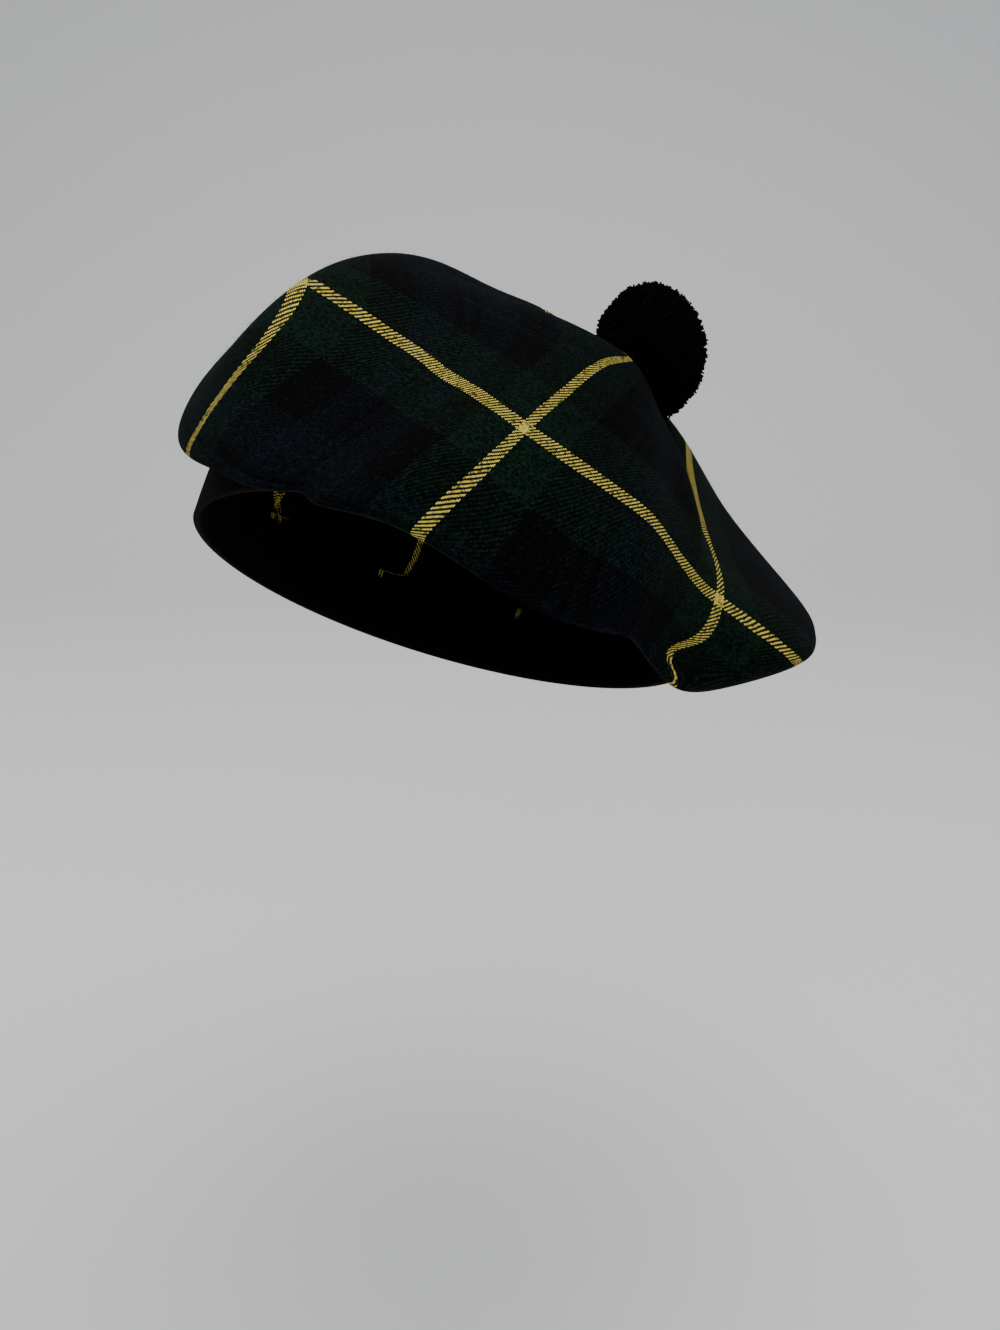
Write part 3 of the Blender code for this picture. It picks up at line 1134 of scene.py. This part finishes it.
@dataclass
class Strewn:
    """Geometry Nodes tree that stands small strands all over a surface, leaning at random."""

    name: str
    density: float                     # strands for each square metre
    length: float
    radius: float
    lean: float                        # the most, in radians
    sides: int = 4
    bend: float = 0.0                  # how far a strand's tip hangs to one side
    seed: int = 7
    steps: int = 3                     # of a strand's length
    knee: float = 0.6                  # share of the length that a strand stands before it bends
    tip: float = 0.55                  # its thickness at the tip, as a share
    spin: float = 3.14                 # about its own axis, either way
    smallest: float = 0.7
    largest: float = 1.25

    def tree(self, material: bpy.types.Material) -> bpy.types.GeometryNodeTree:
        """Make the tree, with its sizes as named inputs.

        Args:
            material: finish of the strands.

        Returns:
            The node tree.
        """
        tree = bpy.data.node_groups.new(self.name, "GeometryNodeTree")
        tree.interface.new_socket("Surface", in_out="INPUT", socket_type="NodeSocketGeometry")
        for label in ("Density", "Length", "Radius", "Lean", "Bend"):
            tree.interface.new_socket(label, in_out="INPUT", socket_type="NodeSocketFloat")
        tree.interface.new_socket("Seed", in_out="INPUT", socket_type="NodeSocketInt")
        tree.interface.new_socket("Result", in_out="OUTPUT", socket_type="NodeSocketGeometry")
        given = add_node(tree, "NodeGroupInput")
        spread = add_node(
            tree, "GeometryNodeDistributePointsOnFaces", {},
            {"Mesh": given.outputs["Surface"], "Density": given.outputs["Density"],
             "Seed": given.outputs["Seed"]},
        )
        tip = add_node(
            tree, "ShaderNodeCombineXYZ", {}, {0: given.outputs["Bend"], 2: given.outputs["Length"]}
        )
        upright_part = add_node(
            tree, "ShaderNodeMath", {"operation": "MULTIPLY"}, {0: given.outputs["Length"], 1: self.knee}
        )
        knee = add_node(tree, "ShaderNodeCombineXYZ", {}, {2: upright_part.outputs[0]})
        strand = add_node(
            tree, "GeometryNodeCurveQuadraticBezier", {},
            {"Resolution": self.steps, "Start": (0.0, 0.0, 0.0), "Middle": knee.outputs[0],
             "End": tip.outputs[0]},
        )
        circle = add_node(
            tree, "GeometryNodeCurvePrimitiveCircle", {},
            {"Resolution": self.sides, "Radius": given.outputs["Radius"]},
        )
        share = add_node(tree, "GeometryNodeSplineParameter")
        taper = add_node(
            tree, "ShaderNodeMapRange", {},
            {"Value": share.outputs["Factor"], "To Min": 1.0, "To Max": self.tip},
        )
        tube = add_node(
            tree, "GeometryNodeCurveToMesh", {},
            {"Curve": strand.outputs[0], "Profile Curve": circle.outputs[0], "Scale": taper.outputs[0],
             "Fill Caps": True},
        )
        upright = add_node(
            tree, "FunctionNodeAlignRotationToVector", {"axis": "Z"}, {"Vector": spread.outputs["Normal"]}
        )
        back = add_node(
            tree, "ShaderNodeMath", {"operation": "MULTIPLY"}, {0: given.outputs["Lean"], 1: -1.0}
        )
        low = add_node(
            tree, "ShaderNodeCombineXYZ", {}, {0: back.outputs[0], 1: back.outputs[0], 2: -self.spin}
        )
        high = add_node(
            tree, "ShaderNodeCombineXYZ", {},
            {0: given.outputs["Lean"], 1: given.outputs["Lean"], 2: self.spin},
        )
        tilt = add_node(
            tree, "FunctionNodeRandomValue", {"data_type": "FLOAT_VECTOR"},
            {0: low.outputs[0], 1: high.outputs[0], "Seed": given.outputs["Seed"]},
        )
        turned = add_node(
            tree, "FunctionNodeRotateRotation", {"rotation_space": "LOCAL"},
            {0: upright.outputs[0], 1: tilt.outputs[0]},
        )
        size = add_node(
            tree, "FunctionNodeRandomValue", {"data_type": "FLOAT"},
            {2: self.smallest, 3: self.largest, "Seed": given.outputs["Seed"]},
        )
        stood = add_node(
            tree, "GeometryNodeInstanceOnPoints", {},
            {"Points": spread.outputs["Points"], "Instance": tube.outputs[0],
             "Rotation": turned.outputs[0], "Scale": size.outputs[1]},
        )
        real = add_node(tree, "GeometryNodeRealizeInstances", {}, {0: stood.outputs[0]})
        dressed = add_node(
            tree, "GeometryNodeSetMaterial", {}, {"Geometry": real.outputs[0], "Material": material}
        )
        add_node(tree, "NodeGroupOutput", {}, {0: dressed.outputs[0]})
        return tree

    def build(self, surface: bpy.types.Object, material: bpy.types.Material) -> bpy.types.Object:
        """Stand the strands on a copy of a surface.

        Args:
            surface: object whose faces they stand on.
            material: finish of the strands.

        Returns:
            The strands as one plain mesh.
        """
        piece = bpy.data.objects.new(self.name, surface.data.copy())
        bpy.context.scene.collection.objects.link(piece)
        modifier = piece.modifiers.new("strewn", "NODES")
        tree = self.tree(material)
        modifier.node_group = tree
        values = {
            "Density": self.density, "Length": self.length, "Radius": self.radius,
            "Lean": self.lean, "Bend": self.bend, "Seed": self.seed,
        }
        for item in tree.interface.items_tree:
            if item.in_out == "INPUT" and item.name in values:
                modifier[item.identifier] = values[item.name]
        make_plain(piece)
        piece.data.polygons.foreach_set("use_smooth", [True] * len(piece.data.polygons))
        return piece


@dataclass
class Pompom:
    """Ball of cut yarn ends on a dark core, sewn to the middle of the crown."""

    form: CrownForm = field(default_factory=CrownForm)
    middle: tuple[float, float, float] = (29, 82, 91)
    radius: float = 21.6
    stretch: float = 1.24
    lean: tuple[float, float, float] = (-0.20, 0.22, 0.95)
    seat: tuple[float, float, float] = (0.50, 0.36, 0.79)
    core_share: float = 0.94           # the core's radius; the yarn ends make up the rest
    lump: float = 0.03                 # how uneven the core is, as a share of its radius
    lump_waves: tuple[tuple[float, float, float], ...] = ((7.0, 3.0, 5.0), (-4.0, 8.0, 3.0))
    seated_below: float = 0.2          # only this far up its axis does it rest on the crown
    seat_spread: float = 1.5           # how far the crown is felt from, in millimetres
    seat_gap: float = 0.6
    ends: Strewn = field(
        default_factory=lambda: Strewn(
            "pompom_yarn_ends", density=800000.0, length=1.7 * MM, radius=0.5 * MM, lean=0.55, sides=5,
            bend=0.5 * MM,
        )
    )
    strays: Strewn = field(
        default_factory=lambda: Strewn(
            "pompom_stray_ends", density=6000.0, length=4.0 * MM, radius=0.3 * MM, lean=0.9, sides=5,
            bend=1.5 * MM, seed=3,
        )
    )

    def build(self, material: bpy.types.Material) -> list[bpy.types.Object]:
        """Make the core, the yarn ends and a few that stand out further.

        Args:
            material: finish of both.

        Returns:
            The three pieces.
        """
        tallest = np.array(Vector(self.lean).normalized())
        seat = np.array(Vector(self.seat).normalized())
        middle = np.array(self.middle)
        bpy.ops.mesh.primitive_ico_sphere_add(subdivisions=5, radius=1.0)
        core = bpy.context.object
        core.name = "pompom_core"
        mesh = core.data
        directions = np.zeros(len(mesh.vertices) * 3)
        mesh.vertices.foreach_get("co", directions)
        directions = directions.reshape(-1, 3)
        lumps = np.prod([np.sin(directions @ np.array(wave)) for wave in self.lump_waves], axis=0)
        radius = self.radius * self.core_share * (1.0 + self.lump * lumps)
        places = directions * radius[:, None]
        places += (places @ tallest)[:, None] * (self.stretch - 1.0) * tallest
        floor = self.floor_height(places, seat, middle)
        lower = (directions @ seat) < self.seated_below
        lift = np.where(lower, np.maximum(0.0, floor - places @ seat), 0.0)
        places += lift[:, None] * seat
        mesh.vertices.foreach_set("co", ((places + middle) * MM).ravel())
        mesh.materials.append(material)
        mesh.polygons.foreach_set("use_smooth", [True] * len(mesh.polygons))
        mesh.update()
        return [core, self.ends.build(core, material), self.strays.build(core, material)]

    def floor_height(self, places: np.ndarray, axis: np.ndarray, middle: np.ndarray) -> np.ndarray:
        """How high the crown stands under each point, along the pompom's axis.

        Args:
            places: points about the pompom's middle, in millimetres.
            axis: direction that the pompom stands out in.
            middle: the pompom's middle.

        Returns:
            Height for each point, about the pompom's middle.
        """
        batch = 512
        turns = np.arange(0.0, 360.0, 6.0)
        crown = self.form.cloth(turns, np.linspace(0.0, 1.3, 27)).reshape(-1, 3) - middle
        heights = crown @ axis
        flat_crown = crown - heights[:, None] * axis
        flat_places = places - (places @ axis)[:, None] * axis
        result = np.zeros(len(places))
        for start in range(0, len(places), batch):
            part = flat_places[start:start + batch]
            away = np.linalg.norm(part[:, None, :] - flat_crown[None, :, :], axis=-1)
            near = np.exp(-(away / self.seat_spread) ** 2) + 1e-12
            result[start:start + batch] = (near * heights).sum(axis=1) / near.sum(axis=1)
        return result + self.seat_gap


# ---- stage -----------------------------------------------------------------------------------
@dataclass(frozen=True)
class Lamp:
    """Square soft lamp that faces the object: metres, watts and an sRGB hex colour."""

    name: str
    place: tuple[float, float, float]
    size: float
    power: float
    colour: str


@dataclass
class Studio:
    """Plain pale floor with a swept back, soft light and the camera."""

    floor_height: float = -0.30
    floor_colour: str = "e9eae9"
    floor_half_width: float = 6.0
    floor_reach: float = 4.0           # before and behind the object
    floor_step: float = 0.1
    sweep_start: float = 1.2           # where it starts to rise behind the object
    sweep_rise: float = 1.1            # metres at one metre from there
    lamps: tuple[Lamp, ...] = (
        Lamp("overhead", (0.1, 0.25, 1.3), 1.4, 16.0, "fffaf2"),
        Lamp("front", (0.9, -1.1, 0.8), 1.2, 7.0, "f4f7ff"),
        Lamp("left", (-1.0, -0.7, 0.7), 1.0, 5.0, "f6f8ff"),
    )
    lamps_aim: tuple[float, float, float] = (0.0, 0.03, 0.03)
    surround_colour: str = "e6e8ee"
    surround_strength: float = 0.57
    camera_place: tuple[float, float, float] = (0.3415, -0.3415, 0.1294)
    camera_right: tuple[float, float, float] = (0.734, 0.680, 0.0)
    camera_pitch: float = 17.7
    picture_width: float = 1000.0
    focal_pixels: float = 1300.0

    def build_floor(self) -> bpy.types.Object:
        """Make the floor, which sweeps up behind the object.

        Returns:
            The floor.
        """
        profile = []
        steps = round(self.floor_reach / self.floor_step)
        for step in range(-steps, steps + 1):
            distance = step * self.floor_step
            rise = self.sweep_rise * max(0.0, distance - self.sweep_start) ** 2
            profile.append((distance, self.floor_height + rise))
        right = Vector(self.camera_right).normalized()
        away = Vector((-right.y, right.x, 0.0))
        corners = []
        for side in (-self.floor_half_width, self.floor_half_width):
            for distance, height in profile:
                corners.append(right * side + away * distance + Vector((0.0, 0.0, height)))
        count = len(profile)
        faces = [(i, i + count, i + count + 1, i + 1) for i in range(count - 1)]
        mesh = bpy.data.meshes.new("studio_floor")
        mesh.from_pydata([tuple(corner) for corner in corners], [], faces)
        material = bpy.data.materials.new("studio_paper")
        material.use_nodes = True
        shader = material.node_tree.nodes["Principled BSDF"]
        shader.inputs["Base Color"].default_value = hex_colour(self.floor_colour)
        shader.inputs["Roughness"].default_value = 0.9
        mesh.materials.append(material)
        floor = mesh_object("studio_floor", mesh)
        return floor

    def add_lamp(self, lamp: Lamp) -> bpy.types.Object:
        """Add a lamp and turn it to the object.

        Args:
            lamp: its place, size, power and colour.

        Returns:
            The lamp's object.
        """
        data = bpy.data.lights.new(lamp.name, "AREA")
        data.size = lamp.size
        data.energy = lamp.power
        data.color = hex_colour(lamp.colour)[:3]
        stand = bpy.data.objects.new(lamp.name, data)
        bpy.context.scene.collection.objects.link(stand)
        stand.location = lamp.place
        aim = Vector(self.lamps_aim) - Vector(lamp.place)
        stand.rotation_euler = aim.to_track_quat("-Z", "Y").to_euler()
        return stand

    def build_light(self) -> None:
        """Light the stage softly from above, with a pale surround."""
        for lamp in self.lamps:
            self.add_lamp(lamp)
        world = bpy.data.worlds.new("surround")
        bpy.context.scene.world = world
        world.use_nodes = True
        background = world.node_tree.nodes["Background"]
        background.inputs[0].default_value = hex_colour(self.surround_colour)
        background.inputs[1].default_value = self.surround_strength

    def build_camera(self) -> bpy.types.Object:
        """Make the camera at the photograph's angle and set it.

        Returns:
            The camera.
        """
        right = Vector(self.camera_right).normalized()
        level = Vector((-right.y, right.x, 0.0))
        pitch = math.radians(self.camera_pitch)
        forward = level * math.cos(pitch) - Vector((0.0, 0.0, 1.0)) * math.sin(pitch)
        up = right.cross(forward)
        data = bpy.data.cameras.new("camera")
        data.sensor_fit = "HORIZONTAL"
        data.sensor_width = 36.0
        data.lens = data.sensor_width * self.focal_pixels / self.picture_width
        data.clip_start = 0.01
        camera = bpy.data.objects.new("camera", data)
        bpy.context.scene.collection.objects.link(camera)
        turn = Matrix((right, up, -forward)).transposed().to_4x4()
        camera.matrix_world = Matrix.Translation(Vector(self.camera_place)) @ turn
        bpy.context.scene.camera = camera
        return camera


def report(piece: bpy.types.Object) -> None:
    """Log a finished piece's name and size."""
    LOG.info("%s: %d vertices, %d faces", piece.name, len(piece.data.vertices), len(piece.data.polygons))


def main() -> None:
    """Build the stage and every piece of the hat."""
    logging.basicConfig(level=logging.INFO, format="%(name)s %(message)s")
    studio = Studio()
    studio.build_camera()
    studio.build_floor()
    studio.build_light()
    tartan = TartanWool().build()
    felt = FeltedWool().build()
    yarn = WoolYarn().build()
    fluff = WoolYarn("wool_bloom", "0a1412", "1d2a29").build()
    crown = Crown()
    top = crown.build_top(tartan)
    underside = crown.build_underside(tartan)
    band = Headband().build(felt)
    core, ends, strays = Pompom().build(yarn)
    bloom = Strewn(
        "crown_wool_bloom", density=66000.0, length=1.3 * MM, radius=0.03 * MM, lean=1.1, sides=3,
        bend=0.8 * MM, seed=11,
    ).build(top, fluff)
    for piece, node, slot in (
        (top, "crown_top", "tartan_wool"),
        (underside, "crown_underside", "tartan_wool"),
        (band, "headband", "black_felt"),
        (core, "pompom", "black_yarn"),
        (ends, "pompom", "black_yarn"),
        (strays, "pompom", "black_yarn"),
        (bloom, "crown_top", "tartan_wool"),
    ):
        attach(piece, "root")
        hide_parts(node)
        report(piece)


if __name__ == "__main__":
    main()
